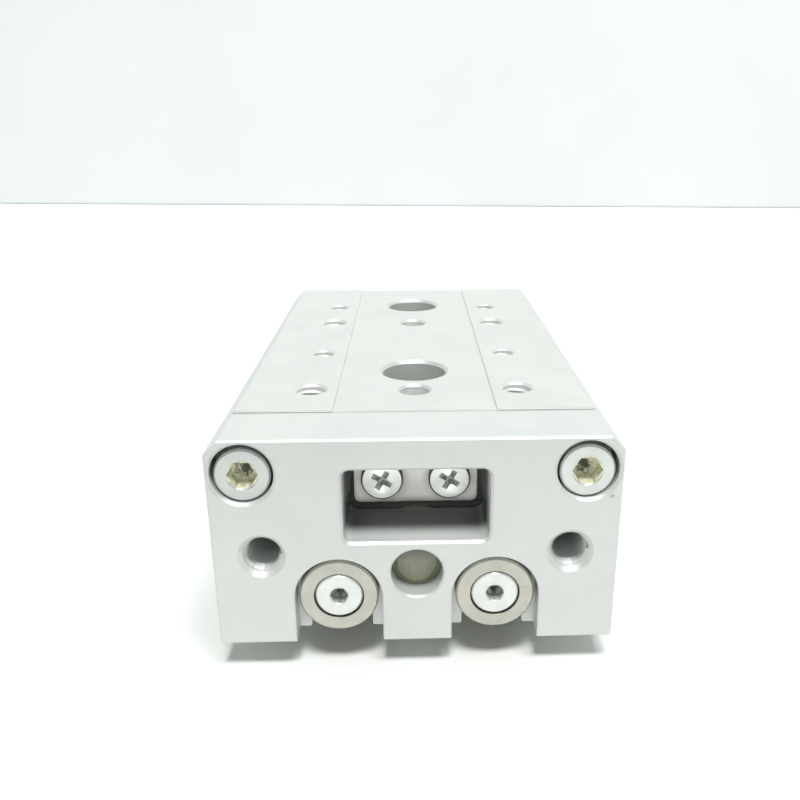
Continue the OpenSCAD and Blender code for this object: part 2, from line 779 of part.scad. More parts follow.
rail_screw_x = rail_x + 4.9;
rail_h = channel_z - body_h - rail_under;
rail_screw_sink = 0.4;

// A rail under the table, with its half of the roller way
module rail(side) {
    head_r = M3[1] / 2 + 0.2;
    color("DarkGray")
    difference() {
        translate([side * (rail_x + rail_w / 2), 0, body_h + rail_under])
            ground_bar(rail_w, rail_front, rail_rear, rail_h, 0.4);
        translate([side * way_x, 0, way_z]) vee(rail_front, rail_rear);
        for (d = rail_screw_rows)
            translate([side * rail_screw_x, back(d), body_h + rail_under]) mirror([0, 0, 1]) {
                drilled(2 * head_r, M3[2] + rail_screw_sink, 0.2);
                drilled(M3[0] + 0.4, rail_h + over, 0.2);
            }
        for (s = rail_stop_places()) if (s[0] * side > 0) rail_stop_place(s) tapped(2, 4, 0.1);
    }
}

module rail_screws() {
    color("Silver")
    for (side = [-1, 1], d = rail_screw_rows)
        translate([side * rail_screw_x, back(d), body_h + rail_under + rail_screw_sink]) mirror([0, 0, 1])
            cap_screw(M3, rail_h - rail_screw_sink - M3[2] + 3.8);
}

// Small screws at the rails' ends: [x, depth of the rail's end, way it faces]
rail_stop_d = 4.4;
rail_stop_t = 0.8;
rail_stop_x = rail_x + 2.6;
rail_stop_z = way_z + 1.6;   // above the way's deepest line
function rail_stop_places() =
    [for (end = [-1, 1], side = [-1, 1]) [side * rail_stop_x, end < 0 ? rail_front : rail_rear, end]];

module rail_stop_place(s) {
    translate([s[0], back(s[1]), rail_stop_z]) rotate([s[2] < 0 ? 90 : -90, 0, 0]) children();
}

module rail_stop_screws() {
    color("Silver")
    for (s = rail_stop_places())
        rail_stop_place(s) difference() {
            union() {
                cylinder(h = rail_stop_t, d = rail_stop_d);
                translate([0, 0, -3.5]) cylinder(h = 3.5, d = 2 - 2 * thread_gap);
            }
            translate([-rail_stop_d, -0.3, rail_stop_t - 0.35]) cube([2 * rail_stop_d, 0.6, 1]);
        }
}

// Set screws that press the right rail against its rollers
module preload_screws() {
    tip = rail_x + rail_w;
    len = unit_w / 2 - tip - preload_sink;
    color("DimGray")
    for (d = preload_rows)
        translate([tip + len, back(d), way_z]) rotate([0, 90, 0]) difference() {
            union() {
                translate([0, 0, -len + 0.5]) cylinder(h = len - 0.5, d = M4[0] - 2 * thread_gap);
                translate([0, 0, -len]) cylinder(h = 0.5, d1 = 2.6, d2 = M4[0] - 2 * thread_gap);
            }
            hex_socket(2, 2);
        }
}

// ---- end plate ----

module end_plate() {
    color("WhiteSmoke")
    difference() {
        plate_blank();
        plate_joint_line();
        window_cut();
        for (side = [-1, 1]) {
            rod_slot(side);
            translate([side * plate_screw_x, 0, 0]) face_front(0, plate_top - plate_screw_drop) {
                drilled(M5[1] + 1, plate_screw_sink + M5[2], 0.4);
                drilled(M5[0] + plate_screw_play, plate_t + over);
            }
            translate([side * face_tap_w / 2, 0, 0]) {
                face_front(0, face_tap_z) drilled(face_tap_d, plate_t + over, 0.7);
                face_rear(plate_t, face_tap_z) drilled(face_tap_d, over, 0.4);
            }
        }
        face_front(0, bumper_z) drilled(bumper_stem_d, plate_t + over, 0.3);
    }
}

// The plate before it is cut: its upper corners match the table's chamfer
module plate_blank() {
    e = plate_ease;
    w = plate_w / 2;
    c = top_chamfer + plate_proud;
    intersection() {
        translate([0, back(0), 0]) rotate([90, 0, 0]) mirror([0, 0, 1]) linear_extrude(plate_t) polygon([
            [-w, plate_bottom + e], [-w, plate_top - c], [-w + c, plate_top],
            [w - c, plate_top], [w, plate_top - c], [w, plate_bottom + e],
            [w - e, plate_bottom], [-w + e, plate_bottom]
        ]);
        eased_block(plate_w, 0, plate_t + 2 * e, plate_bottom, plate_top, e);
    }
}

// A fine groove along the upper edge where the plate meets the table
module plate_joint_line() {
    translate([0, back(plate_t), plate_top]) rotate([45, 0, 0])
        cube([plate_w, joint_line * sqrt(2), joint_line * sqrt(2)], center = true);
}

// The window, with its front edge eased all round and its sill eased at the back
module window_cut() {
    e = window_ease;
    w = window_w;
    h = window_h;
    r = window_r;
    face_front(0, window_z + h / 2) {
        translate([0, 0, -plate_t - over]) linear_extrude(plate_t + 2 * over) round_square(w, h, r);
        for (x = [-1, 1], y = [-1, 1]) translate([x * (w / 2 - r), y * (h / 2 - r), -e])
            cylinder(h = e + 0.01, r1 = r, r2 = r + e + 0.01);
        bevelled_cut(w - 2 * r, h, e);
        rotate([0, 0, 90]) bevelled_cut(h - 2 * r, w, e);
    }
    translate([0, back(plate_t), window_z]) rotate([45, 0, 0])
        cube([w - 2 * r, e * sqrt(2), e * sqrt(2)], center = true);
}

// A cut of length l along X that widens by e on both sides as it reaches z = 0
module bevelled_cut(l, w, e) {
    rotate([90, 0, 90]) linear_extrude(l, center = true)
        polygon([[-w / 2, -e], [w / 2, -e], [w / 2 + e + 0.01, 0.01], [-w / 2 - e - 0.01, 0.01]]);
}

// One rod slot, open at the plate's lower edge: wide at the front, narrow behind, with eased feet
module rod_slot(side) {
    e = slot_ease;
    drop = bore_z - plate_bottom + over;
    translate([side * rod_x, 0, 0]) face_front(0, bore_z) {
        translate([0, 0, -slot_step]) cylinder(h = slot_step + over, d = slot_w);
        translate([-slot_w / 2, -drop, -slot_step]) cube([slot_w, drop, slot_step + over]);
        translate([0, 0, -plate_t - over]) cylinder(h = plate_t + over, d = slot_neck_w);
        translate([-slot_neck_w / 2, -drop, -plate_t - over]) cube([slot_neck_w, drop, plate_t + over]);
        translate([0, 0, -e]) cylinder(h = e + 0.01, d1 = slot_w, d2 = slot_w + 2 * e);
        translate([0, -drop / 2, 0]) rotate([0, 0, 90]) bevelled_cut(drop, slot_w, e);
    }
    feet = [[slot_w, -over, slot_step], [slot_neck_w, slot_step - over, plate_t + over]];
    for (w = feet, x = [-w[0] / 2, w[0] / 2])
        translate([side * rod_x + x, back((w[1] + w[2]) / 2), plate_bottom]) rotate([0, 45, 0])
            cube([e * sqrt(2), w[2] - w[1], e * sqrt(2)], center = true);
}

module plate_screws() {
    color("WhiteSmoke")
    for (side = [-1, 1])
        translate([side * plate_screw_x, 0, 0]) face_front(plate_screw_sink, plate_screw_z)
            cap_screw(M5, plate_screw_len);
}

// Soft bumper plugged into the plate from behind, which meets the body when closed
module plate_bumper() {
    stem_r = bumper_stem_d / 2 - fit_gap;
    head_r = 5.1;
    nose_r = 3;
    stem_front = 2.8;
    head_rear = body_front - bumper_gap;
    color("DarkKhaki")
    translate([0, 0, bumper_z]) turned([
        [0, stem_front - 1.2], [0.9, stem_front - 1.4], [nose_r - 0.4, stem_front - 1.4],
        [nose_r, stem_front - 1],
        [nose_r, stem_front], [stem_r - 0.2, stem_front], [stem_r, stem_front + 0.2], [stem_r, plate_t],
        [head_r, plate_t], [head_r, head_rear - 0.4], [head_r - 0.4, head_rear], [0, head_rear]
    ]);
}

// ---- rollers ----

function roller_depth(i) = (cage_front + cage_rear) / 2 + (i - (roller_count - 1) / 2) * roller_pitch;

module roller_cage(side) {
    pocket_l = roller_d + 0.1;
    pocket_h = roller_d * 1.42;
    color("Goldenrod")
    difference() {
        translate([side * way_x - cage_t / 2, back(cage_front), way_z - cage_h / 2])
            cube([cage_t, cage_len, cage_h]);
        for (i = [0:roller_count - 1])
            translate([side * way_x, back(roller_depth(i)), way_z])
                cube([2 * cage_t, pocket_l, pocket_h], center = true);
    }
}

// Rollers whose axes cross, one leaning left and the next leaning right
module rollers(side) {
    len = roller_d - 0.3;
    color("Silver")
    for (i = [0:roller_count - 1])
        translate([side * way_x, back(roller_depth(i)), way_z]) rotate([0, i % 2 == 0 ? 45 : -45, 0]) {
            cylinder(h = len - 0.4, d = roller_d, center = true, $fn = 32);
            for (end = [0, 180]) rotate([end, 0, 0]) translate([0, 0, len / 2 - 0.2])
                cylinder(h = 0.2, d1 = roller_d, d2 = roller_d - 0.4, $fn = 32);
        }
}

// ---- nodes ----

body();
port_plugs();
guide_block();
guide_block_screws();
guide_stop(-1);  // guide_stop_front
guide_stop(1);  // guide_stop_rear
guide_stop_screws();
rod_gland(-1);  // rod_gland_left
rod_gland(1);  // rod_gland_right
rod_seal(-1);  // rod_seal_left
rod_seal(1);  // rod_seal_right
bore_ring(-1, gland_ring_front);  // gland_ring_left
bore_ring(1, gland_ring_front);  // gland_ring_right
bore_clip(-1, gland_front - 1.05);  // gland_clip_left
bore_clip(1, gland_front - 1.05);  // gland_clip_right
stop_ring(-1);  // stop_ring_left
stop_ring(1);  // stop_ring_right
head_cap(-1);  // head_cap_left
head_cap(1);  // head_cap_right
bore_ring(-1, cap_ring_front);  // cap_ring_left
bore_ring(1, cap_ring_front);  // cap_ring_right
bore_clip(-1, cap_rear + 0.05);  // cap_clip_left
bore_clip(1, cap_rear + 0.05);  // cap_clip_right
table();
rail(-1);  // rail_left
rail(1);  // rail_right
rail_screws();
rail_stop_screws();
preload_screws();
end_plate();
plate_screws();
plate_bumper();
floating_bush(-1);  // floating_bush_left
floating_bush(1);  // floating_bush_right
thrust_washer(-1);  // thrust_washer_left
thrust_washer(1);  // thrust_washer_right
rod_end_screws();
piston_rod(-1);  // piston_rod_left
piston_rod(1);  // piston_rod_right
piston(-1);  // piston_left
piston(1);  // piston_right
piston_seal(-1);  // piston_seal_left
piston_seal(1);  // piston_seal_right
piston_magnet(-1);  // piston_magnet_left
piston_magnet(1);  // piston_magnet_right
wear_ring(-1);  // wear_ring_left
wear_ring(1);  // wear_ring_right
piston_screws();
roller_cage(-1);  // roller_cage_left
rollers(-1);  // rollers_left
roller_cage(1);  // roller_cage_right
rollers(1);  // rollers_right
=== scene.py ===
import json
import math

import bpy
from mathutils import Euler, Matrix, Vector


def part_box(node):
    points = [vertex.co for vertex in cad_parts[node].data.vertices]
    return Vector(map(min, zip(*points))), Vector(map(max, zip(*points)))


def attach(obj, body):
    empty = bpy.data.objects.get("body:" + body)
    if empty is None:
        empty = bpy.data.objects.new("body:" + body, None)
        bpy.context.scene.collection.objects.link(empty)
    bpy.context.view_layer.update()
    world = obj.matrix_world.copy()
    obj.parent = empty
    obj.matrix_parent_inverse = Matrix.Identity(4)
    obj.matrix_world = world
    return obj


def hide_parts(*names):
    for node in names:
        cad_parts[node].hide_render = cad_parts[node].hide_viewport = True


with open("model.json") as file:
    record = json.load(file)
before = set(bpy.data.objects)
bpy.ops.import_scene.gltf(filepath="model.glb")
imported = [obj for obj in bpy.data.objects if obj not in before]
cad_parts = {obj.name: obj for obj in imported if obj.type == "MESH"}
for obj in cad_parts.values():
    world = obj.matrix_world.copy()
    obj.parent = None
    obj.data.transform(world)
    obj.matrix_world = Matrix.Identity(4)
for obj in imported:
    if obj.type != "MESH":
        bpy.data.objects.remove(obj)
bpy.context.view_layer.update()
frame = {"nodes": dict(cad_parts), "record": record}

nodes = frame["nodes"]
mounts = {mount["name"]: mount for mount in frame["record"]["mounts"]}
millimetre = 0.001
print("frame loaded:", len(nodes), "nodes")


def holePlaces(mountName):
    # the mouths of a mount's holes, from the record
    mount = mounts[mountName]
    dims = mount["dims"]
    middlePlace = Vector(mount["pos_m"])
    acrossHalf = dims.get("spacing_x_mm", 0) / 2 * millimetre
    alongHalf = dims.get("spacing_y_mm", 0) / 2 * millimetre
    along = Vector((0, 1, 0)) if abs(mount["axis"][2]) > 0.5 else Vector((0, 0, 1))
    return [middlePlace + Vector((x, 0, 0)) + along * y
            for x in (-acrossHalf, acrossHalf)
            for y in ((-alongHalf, alongHalf) if alongHalf else (0,))]


def deselectAll():
    if bpy.context.object and bpy.context.object.mode != "OBJECT":
        bpy.ops.object.mode_set(mode="OBJECT")
    bpy.ops.object.select_all(action="DESELECT")


def makeActive(piece):
    deselectAll()
    piece.select_set(True)
    bpy.context.view_layer.objects.active = piece


def nameNew(name):
    piece = bpy.context.object
    piece.name = name
    piece.data.name = name
    return piece


def setOrigin(piece):
    # the place goes into the mesh, and the object stays at the origin
    makeActive(piece)
    bpy.ops.object.transform_apply(location=True, rotation=True, scale=True)


def applyModifiers(piece):
    makeActive(piece)
    for modifier in list(piece.modifiers):
        bpy.ops.object.modifier_apply(modifier=modifier.name)


def placeCopy(piece, name, place, turn=(0, 0, 0)):
    # a copy with its own mesh, turned and moved from the origin to its place
    copy = piece.copy()
    copy.data = piece.data.copy()
    copy.name = name
    copy.data.name = name
    bpy.context.scene.collection.objects.link(copy)
    copy.matrix_world = Matrix.Translation(place) @ Euler(turn).to_matrix().to_4x4()
    setOrigin(copy)
    return copy


def wear(piece, material):
    piece.data.materials.clear()
    piece.data.materials.append(material)


def middle(node):
    low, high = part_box(node)
    return (low + high) / 2


def shade(red, green, blue):
    # a colour from 0 to 255, as it looks on a screen
    return tuple((v / 255 / 12.92) if v < 10.3 else ((v / 255 + 0.055) / 1.055) ** 2.4
                 for v in (red, green, blue)) + (1.0,)


class Finish:
    # one material, with short calls that add a node and link it
    def __init__(self, name):
        self.material = bpy.data.materials.new(name)
        self.material.use_nodes = True
        self.tree = self.material.node_tree
        self.shader = self.tree.nodes["Principled BSDF"]
        self.place = self.add("ShaderNodeTexCoord").outputs["Object"]

    def add(self, kind, inputs=None, **settings):
        node = self.tree.nodes.new(kind)
        for setting, value in settings.items():
            setattr(node, setting, value)
        for socket, value in (inputs or {}).items():
            if isinstance(value, bpy.types.NodeSocket):
                self.tree.links.new(value, node.inputs[socket])
            else:
                node.inputs[socket].default_value = value
        return node

    def plain(self, **values):
        for socket, value in values.items():
            self.shader.inputs[socket.replace("_", " ")].default_value = value

    def mapped(self, scale=(1, 1, 1), centre=(0, 0, 0)):
        shift = [-c * s for c, s in zip(centre, scale)]
        return self.add("ShaderNodeMapping", {"Vector": self.place, "Location": shift,
                                              "Scale": scale}).outputs["Vector"]

    def noise(self, size, detail=2.0, stretch=(1, 1, 1), roughness=0.5, distortion=0.0):
        # size is the grain's width in millimetres
        grain = 1 / (size * millimetre)
        return self.add("ShaderNodeTexNoise", {
            "Vector": self.mapped([grain / s for s in stretch]), "Scale": 1.0, "Detail": detail,
            "Roughness": roughness, "Distortion": distortion}).outputs["Fac"]

    def blend(self, factor, low, high, start=0.0, end=1.0):
        ramp = self.add("ShaderNodeValToRGB", {"Fac": factor})
        ramp.color_ramp.elements[0].position = start
        ramp.color_ramp.elements[0].color = low
        ramp.color_ramp.elements[1].position = end
        ramp.color_ramp.elements[1].color = high
        return ramp.outputs["Color"]

    def span(self, value, low, high, start=0.0, end=1.0):
        return self.add("ShaderNodeMapRange", {"Value": value, "From Min": start, "From Max": end,
                                               "To Min": low, "To Max": high}).outputs["Result"]

    def sum(self, first, second, operation="ADD"):
        return self.add("ShaderNodeMath", {0: first, 1: second}, operation=operation).outputs[0]

    def mix(self, factor, first, second):
        # a Mix node's inputs 0, 6 and 7 are the factor and the two colours
        return self.add("ShaderNodeMix", {0: factor, 6: first, 7: second},
                        data_type="RGBA").outputs[2]

    def axis(self, name, centre=(0, 0, 0)):
        parts = self.add("ShaderNodeSeparateXYZ", {"Vector": self.mapped(centre=centre)})
        return parts.outputs[name]

    def within(self, low, high, soft=(0.2, 0.2, 0.2)):
        # 1 inside a box and 0 outside it, with edges as soft as given, in millimetres
        parts = self.add("ShaderNodeSeparateXYZ", {"Vector": self.place})
        inside = None
        for name, start, end, fade in zip("XYZ", low, high, soft):
            fade *= millimetre
            rise = self.span(parts.outputs[name], 0, 1, start - fade / 2, start + fade / 2)
            fall = self.span(parts.outputs[name], 1, 0, end - fade / 2, end + fade / 2)
            both = self.sum(rise, fall, "MULTIPLY")
            inside = both if inside is None else self.sum(inside, both, "MULTIPLY")
        return inside

    def finish(self, colour, roughness, height=None, depth=0.02, edge=0.12):
        # depth and edge in millimetres: how deep the grain is, and how far an edge is rounded
        link = self.tree.links.new
        if isinstance(colour, bpy.types.NodeSocket):
            link(colour, self.shader.inputs["Base Color"])
        else:
            self.shader.inputs["Base Color"].default_value = colour
        if isinstance(roughness, bpy.types.NodeSocket):
            link(roughness, self.shader.inputs["Roughness"])
        else:
            self.shader.inputs["Roughness"].default_value = roughness
        normal = None
        if edge:
            normal = self.add("ShaderNodeBevel", {"Radius": edge * millimetre}, samples=4).outputs[0]
        if height is not None:
            bump = self.add("ShaderNodeBump", {"Height": height, "Distance": depth * millimetre})
            if normal is not None:
                link(normal, bump.inputs["Normal"])
            normal = bump.outputs[0]
        if normal is not None:
            link(normal, self.shader.inputs["Normal"])
        return self.material


alloyLook = dict(grain=0.16, mottle=9.0, rough=(0.42, 0.5), grainDepth=0.012)


def blastedAlloy(name, light, dark, metal, specks=0.0, lines=0.0, toned=()):
    # clear anodised aluminium: fine blasted grain, soft mottling, and a few dark specks;
    # toned is a list of boxes (low, high, softness, share, tone) of painted shade, painted light and dark joint
    # lines, where the metal gives way to the tone
    finish = Finish(name)
    grain = finish.noise(alloyLook["grain"], detail=3)
    mottle = finish.noise(alloyLook["mottle"], detail=4, roughness=0.6)
    colour = finish.blend(mottle, dark, light, 0.3, 0.7)
    rough = finish.span(mottle, alloyLook["rough"][0], alloyLook["rough"][1], 0.3, 0.7)
    height = grain
    if lines:
        # faint lines of the extrusion along the unit
        streak = finish.noise(0.5, detail=5, stretch=(1, 400, 1), roughness=0.7)
        colour = finish.mix(finish.span(streak, 0, lines, 0.45, 0.75), colour, dark)
        height = finish.sum(grain, finish.sum(streak, 2.0, "MULTIPLY"))
    if specks:
        spots = finish.add("ShaderNodeTexVoronoi", {
            "Vector": finish.mapped([1 / (6 * millimetre)] * 3), "Scale": 1.0, "Randomness": 1.0})
        pick = finish.add("ShaderNodeSeparateColor", {"Color": spots.outputs["Color"]}).outputs[0]
        chosen = finish.span(pick, 0, 1, 0.72, 0.76)
        dot = finish.span(spots.outputs["Distance"], specks, 0, 0.03, 0.07)
        colour = finish.mix(finish.sum(dot, chosen, "MULTIPLY"), colour, shade(120, 122, 118))
    finish.plain(Metallic=metal, IOR=1.6)
    # this mask gathers the boxes of painted shade, painted light and joint lines, and takes the metal out of
    # them
    cut = None
    for low, high, soft, share, tone in toned:
        inside = finish.sum(finish.within(low, high, soft), share, "MULTIPLY")
        colour = finish.mix(inside, colour, tone)
        cut = inside if cut is None else finish.sum(cut, inside, "MAXIMUM")
    if cut is not None:
        finish.tree.links.new(finish.span(cut, metal, 0), finish.shader.inputs["Metallic"])
    return finish.finish(colour, rough, height, alloyLook["grainDepth"])


turnedLook = dict(ringPitch=0.16, ringDepth=0.006, rough=(0.26, 0.4))


def turnedMetal(name, light, dark, centre=(0, 0, 0), pair=0.0, rough=None, metal=1.0, stainShadeAndGlow=None):
    # fine rings round an axis along Y; pair is the axis's distance to each side of the middle
    finish = Finish(name)
    parts = finish.add("ShaderNodeSeparateXYZ", {"Vector": finish.place})
    across = finish.sum(parts.outputs["X"], centre[0], "SUBTRACT")
    if pair:
        across = finish.sum(finish.sum(across, 0.0, "ABSOLUTE"), pair, "SUBTRACT")
    upward = finish.sum(parts.outputs["Z"], centre[2], "SUBTRACT")
    square = finish.sum(finish.sum(across, 2.0, "POWER"), finish.sum(upward, 2.0, "POWER"))
    radius = finish.sum(square, 0.5, "POWER")
    turns = finish.sum(radius, 6.28 / (turnedLook["ringPitch"] * millimetre), "MULTIPLY")
    turns = finish.sum(turns, 0.0, "SINE")
    wander = finish.noise(2.5, detail=3)
    colour = finish.blend(wander, dark, light, 0.3, 0.7)
    if stainShadeAndGlow is not None:
        colour = stainShadeAndGlow(finish, colour, radius)
    low, high = rough or turnedLook["rough"]
    height = finish.sum(turns, finish.sum(finish.noise(0.3, detail=2), 1.5, "MULTIPLY"))
    finish.plain(Metallic=metal)
    return finish.finish(colour, finish.span(wander, low, high, 0.3, 0.7), height, turnedLook["ringDepth"])


def groundMetal(name, light, dark, run=(1, 60, 1), rough=(0.22, 0.38), metal=1.0, depth=0.004, glow=0.0,
                cornerShadeReach=0.0):
    # grinding marks that run along one direction; the last argument is how far painted shade reaches out of a
    # corner, in millimetres, and glow is a painted glow in the light colour
    finish = Finish(name)
    scratch = finish.noise(0.12, detail=4, stretch=run, roughness=0.65)
    cloud = finish.noise(4.0, detail=3)
    scratched = finish.span(scratch, 0, 0.5, 0.35, 0.8)
    colour = finish.mix(scratched, finish.blend(cloud, dark, light, 0.3, 0.7), dark)
    finish.plain(Metallic=metal, Emission_Color=light, Emission_Strength=glow)
    if cornerShadeReach:
        # painted shade darkens near corners, and the painted glow fades there too
        corners = finish.add("ShaderNodeAmbientOcclusion", {"Distance": cornerShadeReach * millimetre}, samples=8)
        unshaded = corners.outputs["AO"]
        colour = finish.mix(unshaded, shade(70, 74, 70), colour)
        finish.tree.links.new(finish.span(unshaded, 0, glow), finish.shader.inputs["Emission Strength"])
    return finish.finish(colour, finish.span(cloud, rough[0], rough[1], 0.3, 0.7), scratch, depth)


def zincScrews(name, recess, centre, pair, headTop, socket, metal=0.7, light=shade(240, 245, 242),
               glow=0.0, socketGlow=0.0, rim=None, bothEnds=False, leftPaintedShade=0.0):
    # white zinc with a cool tint; recess is the pair of colours down in the driving sockets, their stain
    # together with painted shade, darkest in the middle; rim is the radius where painted shade darkens the
    # head's edge
    def stainShadeAndGlow(finish, colour, radius):
        link = finish.tree.links.new
        depth = finish.sum(finish.axis("Y"), headTop, "SUBTRACT")
        if bothEnds:
            outward = finish.sum(finish.sum(finish.axis("Y"), centre[1], "SUBTRACT"), 0.0, "ABSOLUTE")
            depth = finish.sum(centre[1] - headTop, outward, "SUBTRACT")
        depth = finish.sum(depth, 1 / millimetre, "MULTIPLY")
        near = finish.span(radius, 1, 0, (socket - 0.15) * millimetre, (socket + 0.1) * millimetre)
        inside = finish.sum(finish.span(depth, 0, 1, 0.02, 0.12), near, "MULTIPLY")
        lumps = finish.noise(0.3 * socket, detail=4, roughness=0.7, distortion=0.8)
        outward = finish.span(radius, -0.22, 0.12, 0, socket * millimetre)
        deep = finish.blend(finish.sum(lumps, outward), recess[0], recess[1], 0.34, 0.56)
        turned = inside
        # painted shade: the left-hand head darker, as the light comes from the right
        if leftPaintedShade:
            leftShadeMask = finish.span(finish.axis("X"), leftPaintedShade, 0, -millimetre, millimetre)
            colour = finish.mix(leftShadeMask, colour, paintedShadeAndJointDark)
        # painted shade on the head's eased edge
        if rim is not None:
            edge = finish.span(radius, 0, 1, (rim - 0.06) * millimetre, (rim + 0.06) * millimetre)
            colour = finish.mix(edge, colour, shade(70, 78, 74))
            turned = finish.sum(inside, edge, "MAXIMUM")
        link(finish.span(inside, metal, 0.2), finish.shader.inputs["Metallic"])
        # painted glow: the head and the socket give off their light colour
        finish.plain(Emission_Color=light)
        link(finish.span(turned, glow, socketGlow), finish.shader.inputs["Emission Strength"])
        return finish.mix(inside, colour, deep)
    dark = tuple(0.88 * c for c in light[:3]) + (1.0,)
    return turnedMetal(name, light, dark, centre, pair, rough=(0.3, 0.42), metal=metal, stainShadeAndGlow=stainShadeAndGlow)


def rubber(name, colour, rough=0.55):
    finish = Finish(name)
    cloud = finish.noise(1.2, detail=4)
    dark = tuple(0.75 * c for c in colour[:3]) + (1.0,)
    return finish.finish(finish.blend(cloud, dark, colour, 0.3, 0.7),
                         finish.span(cloud, rough - 0.08, rough + 0.1), cloud, 0.02, edge=0.08)


softBumper = dict(head=5.1, stem=4.05, front=3.35, ease=0.15, nose=3.2, rise=0.3, round=0.2, crown=0.1,
                  inset=1.2)


def urethane(name, centre=None, reach=2.6):
    # cloudy olive plastic that lets a little light through, with a painted glow in its own colour; painted
    # shade darkens its face towards the edge
    finish = Finish(name)
    cloud = finish.noise(1.6, detail=3)
    colour = finish.blend(cloud, shade(142, 145, 124), shade(162, 165, 150), 0.3, 0.7)
    if centre is not None:
        across, upward = (finish.axis(name, centre) for name in "XZ")
        square = finish.sum(finish.sum(across, 2.0, "POWER"), finish.sum(upward, 2.0, "POWER"))
        radius = finish.sum(square, 0.5, "POWER")
        # painted shade: darker out towards the edge of the face
        colour = finish.mix(finish.span(radius, 0, 0.8, 0.8 * millimetre, reach * millimetre), colour,
                            shade(132, 136, 112))
        # painted shade above, under the bore's edge, and in the corner round the nose
        colour = finish.mix(finish.span(upward, 0, 0.75, 0.6 * millimetre, 2.6 * millimetre), colour,
                            shade(96, 99, 99))
        colour = finish.mix(finish.span(radius, 0, 0.9, (softBumper["nose"] - 0.1) * millimetre,
                                        (softBumper["nose"] + 0.1) * millimetre), colour, shade(110, 113, 92))
    # a painted glow in the plastic's own colour, on the ring too
    finish.plain(Subsurface_Weight=0.4, Subsurface_Radius=(0.0012, 0.0011, 0.0008), Subsurface_Scale=1.0,
                 IOR=1.5, Coat_Weight=0.15, Emission_Strength=0.14)
    finish.tree.links.new(colour, finish.shader.inputs["Emission Color"])
    return finish.finish(colour, finish.span(cloud, 0.28, 0.42), cloud, 0.015, edge=0.15)


def bronze(name, light, dark, pores):
    finish = Finish(name)
    spots = finish.add("ShaderNodeTexVoronoi", {
        "Vector": finish.mapped([1 / (0.35 * millimetre)] * 3), "Scale": 1.0}).outputs["Distance"]
    cloud = finish.noise(3.0, detail=3)
    porous = finish.span(spots, pores, 0, 0.1, 0.3)
    colour = finish.mix(porous, finish.blend(cloud, dark, light, 0.3, 0.7), dark)
    finish.plain(Metallic=1.0)
    return finish.finish(colour, finish.span(cloud, 0.3, 0.45), spots, 0.01)


rodMiddle = middle("floating_bush_right")
onRodAxis = Vector((0, 0, rodMiddle.z))  # with rodMiddle.x on each side of it
plateScrewMiddle = middle("plate_screws")
plateScrewLow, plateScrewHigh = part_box("plate_screws")
stopScrewLow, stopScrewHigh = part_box("guide_stop_screws")
headHalf = 4.25 * millimetre
plateLow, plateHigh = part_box("end_plate")
tableLow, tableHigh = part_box("table")
bodyLow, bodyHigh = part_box("body")

channelTop = 32.4 * millimetre  # the ceiling under the table
crisp = (0.2, 0.2, 0.2)  # how soft a box of another tone is at its edges, in millimetres
# painted shade inside the window, from its sill up: how far in the painted dark starts on the sill and the
# walls
windowShade = dict(half=11.7, low=22.4, high=35.1, sill=2.2, sillFade=3.7, share=0.9,
                   wall=10.9, wallLow=24.5, wallFrom=4.6, wallFade=3.0, wallShare=0.85)
# the fine dark line where the plate meets the table
jointShade = dict(front=0.5, rear=0.3, plate=0.15, table=0.28)
faceShade = dict(right=12.0, low=30.0, fade=(60.0, 0.2, 26.0), share=0.09)  # painted shade, darker towards the upper left
bodyShade = dict(half=20.0, low=17.0, high=23.0, share=0.6)  # the body's front end, in the window's shade
# painted shade in the plate's tapped holes, and painted light in the table's tapped holes and key holes: half
# the box and its share
tapShade = dict(plate=2.9, plateShare=0.12, table=2.7, tableShare=0.4, key=2.6, keyShare=0.85)

# the dark colour is painted shade, and also the colour of the dark joint lines; the light colour is painted
# light down in holes
paintedShadeAndJointDark, paintedHoleLight = shade(40, 44, 43), shade(250, 252, 250)


def plateTones():
    # boxes in metres, each with its soft edges, its share and its tone: painted shade in the window, on the
    # face and in the tapped holes, and the dark joint line
    size = {name: value * millimetre for name, value in windowShade.items()}
    start = plateLow.y + size["sill"] + size["sillFade"] / 2
    boxes = [((-size["half"], start, size["low"]), (size["half"], plateHigh.y + millimetre, size["high"]),
              (0.2, windowShade["sillFade"], 0.2), windowShade["share"], paintedShadeAndJointDark)]
    start = plateLow.y + size["wallFrom"] + size["wallFade"] / 2
    for side in (-1, 1):
        near, far = sorted((side * size["wall"], side * size["half"]))
        boxes.append(((near, start, size["wallLow"]), (far, plateHigh.y + millimetre, size["high"]),
                      (0.2, windowShade["wallFade"], 4.0), windowShade["wallShare"], paintedShadeAndJointDark))
    front = plateHigh.y - jointShade["front"] * millimetre
    boxes.append(((plateLow.x - millimetre, front, plateHigh.z - 0.6 * millimetre),
                  (plateHigh.x + millimetre, plateHigh.y + millimetre, plateHigh.z + millimetre),
                  (0.2, 0.4, 0.2), jointShade["plate"], paintedShadeAndJointDark))
    boxes.append(((plateLow.x - 0.1, plateLow.y - millimetre, faceShade["low"] * millimetre),
                  (faceShade["right"] * millimetre, plateLow.y + 0.3 * millimetre, 0.2),
                  faceShade["fade"], faceShade["share"], paintedShadeAndJointDark))
    half = tapShade["plate"] * millimetre
    for place in holePlaces("plate_face_holes"):
        boxes.append(((place.x - half, plateLow.y + 0.9 * millimetre, place.z - half),
                      (place.x + half, plateHigh.y, place.z + half),
                      (0.2, 0.4, 0.2), tapShade["plateShare"], paintedShadeAndJointDark))
    return boxes


